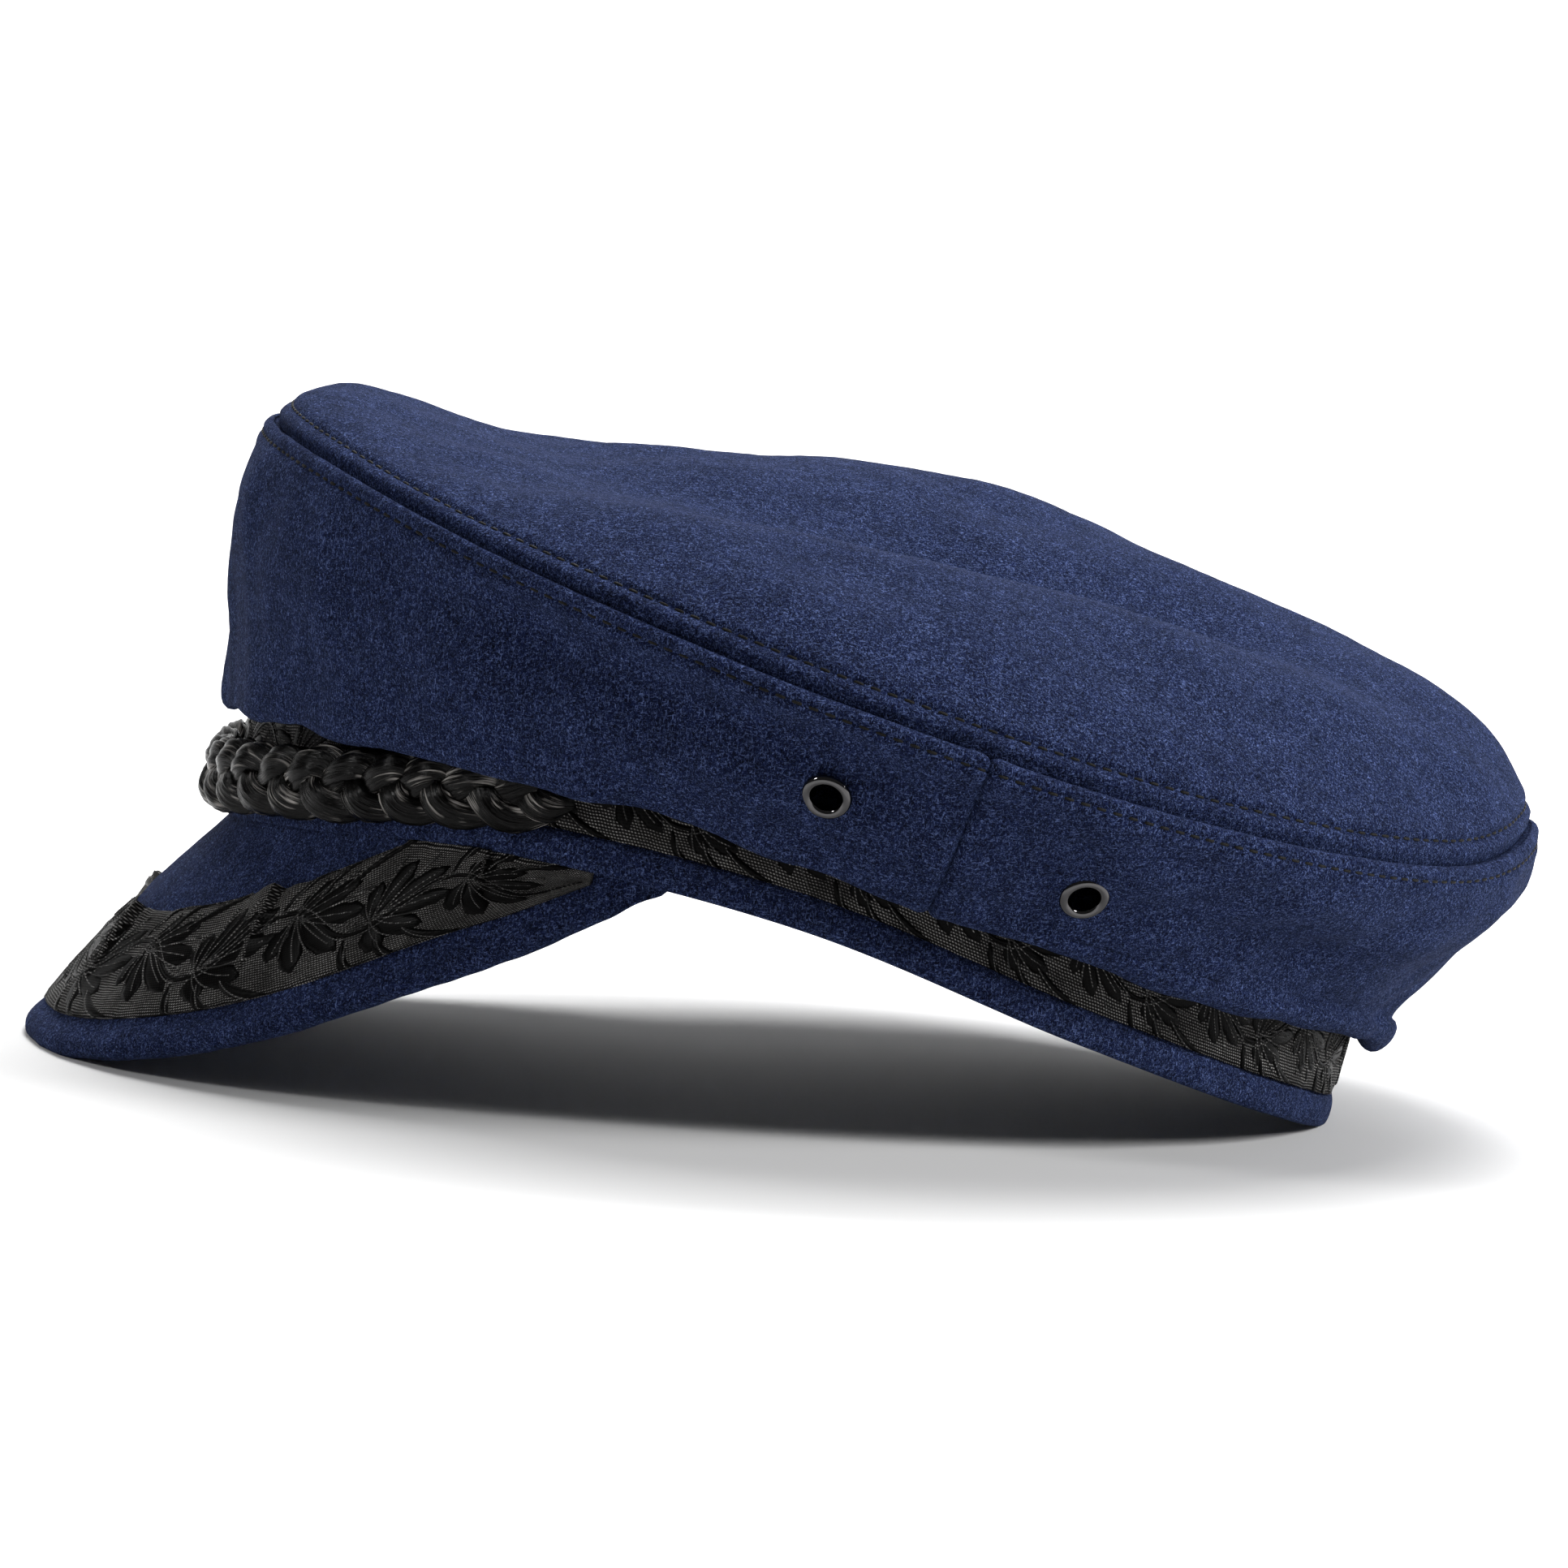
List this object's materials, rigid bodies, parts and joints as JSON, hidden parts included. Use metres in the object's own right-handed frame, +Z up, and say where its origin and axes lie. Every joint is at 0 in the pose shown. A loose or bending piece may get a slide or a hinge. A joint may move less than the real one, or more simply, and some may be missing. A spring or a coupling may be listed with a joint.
{
  "type": "breton fisherman cap",
  "caption": "Soft peaked cap with a low round crown, arched head band, plaited cord over the peak, figured ribbon and metal vent eyelets.",
  "frame": {"origin": "on the floor under the middle of the cap's bounding box, as it lies on the rim of its peak and the back of its band", "axes": "+X to the wearer's left, +Y to the back of the cap, away from the peak, +Z up"},
  "size_m": [0.2216, 0.2694, 0.1198],
  "materials": {
    "wool": "felted melton",
    "ribbon": "figured weave",
    "cord": "satin",
    "eyelet": "black nickel"
  },
  "bodies": {
    "root": {"top_panel": "wool", "front_wall": "wool", "back_wall": "wool", "head_band": "wool", "band_ribbon": "ribbon", "peak": "wool", "peak_ribbon": "ribbon", "plait": "cord", "eyelet_left_front": "eyelet", "eyelet_left_rear": "eyelet", "eyelet_right_front": "eyelet", "eyelet_right_rear": "eyelet"}
  },
  "joints": []
}
